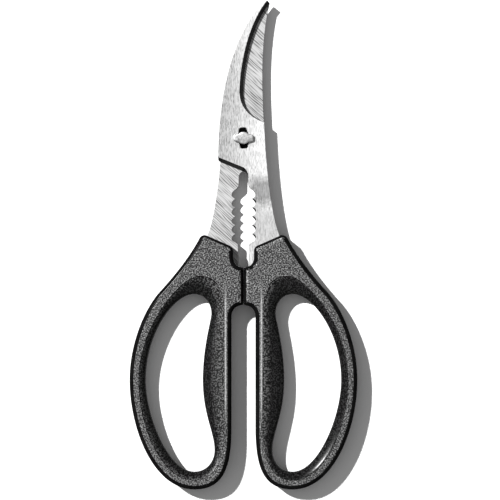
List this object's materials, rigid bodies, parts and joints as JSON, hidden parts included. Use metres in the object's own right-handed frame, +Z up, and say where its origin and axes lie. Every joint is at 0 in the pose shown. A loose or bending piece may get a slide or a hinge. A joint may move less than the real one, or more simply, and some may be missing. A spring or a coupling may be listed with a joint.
{
  "type": "seafood scissors",
  "caption": "Kitchen shears with curved crossing blades on a take-apart pivot, toothed cracking jaws behind the pivot and black finger-loop handles.",
  "frame": {"origin": "on the pivot's axis, in the plane that the closed scissors rest on", "axes": "+Y towards the blade tips, +X towards the front blade's handle, +Z up through the pivot to its lug"},
  "size_m": [0.0934, 0.2008, 0.01],
  "materials": {
    "blade_steel": "ground and brushed",
    "pivot_steel": "polished",
    "handle_plastic": "fine spark texture"
  },
  "bodies": {
    "back_half": {"back_blade": "blade_steel", "left_handle": "handle_plastic", "pivot_stud": "pivot_steel", "rivet_button": "pivot_steel"},
    "front_half": {"front_blade": "blade_steel", "right_handle": "handle_plastic"}
  },
  "joints": [
    {"name": "blade_pivot", "type": "hinge", "parent": "back_half", "child": "front_half", "pos_m": [0, 0, 0.005], "axis": [0, 0, 1], "range_deg": [0, 86]}
  ]
}
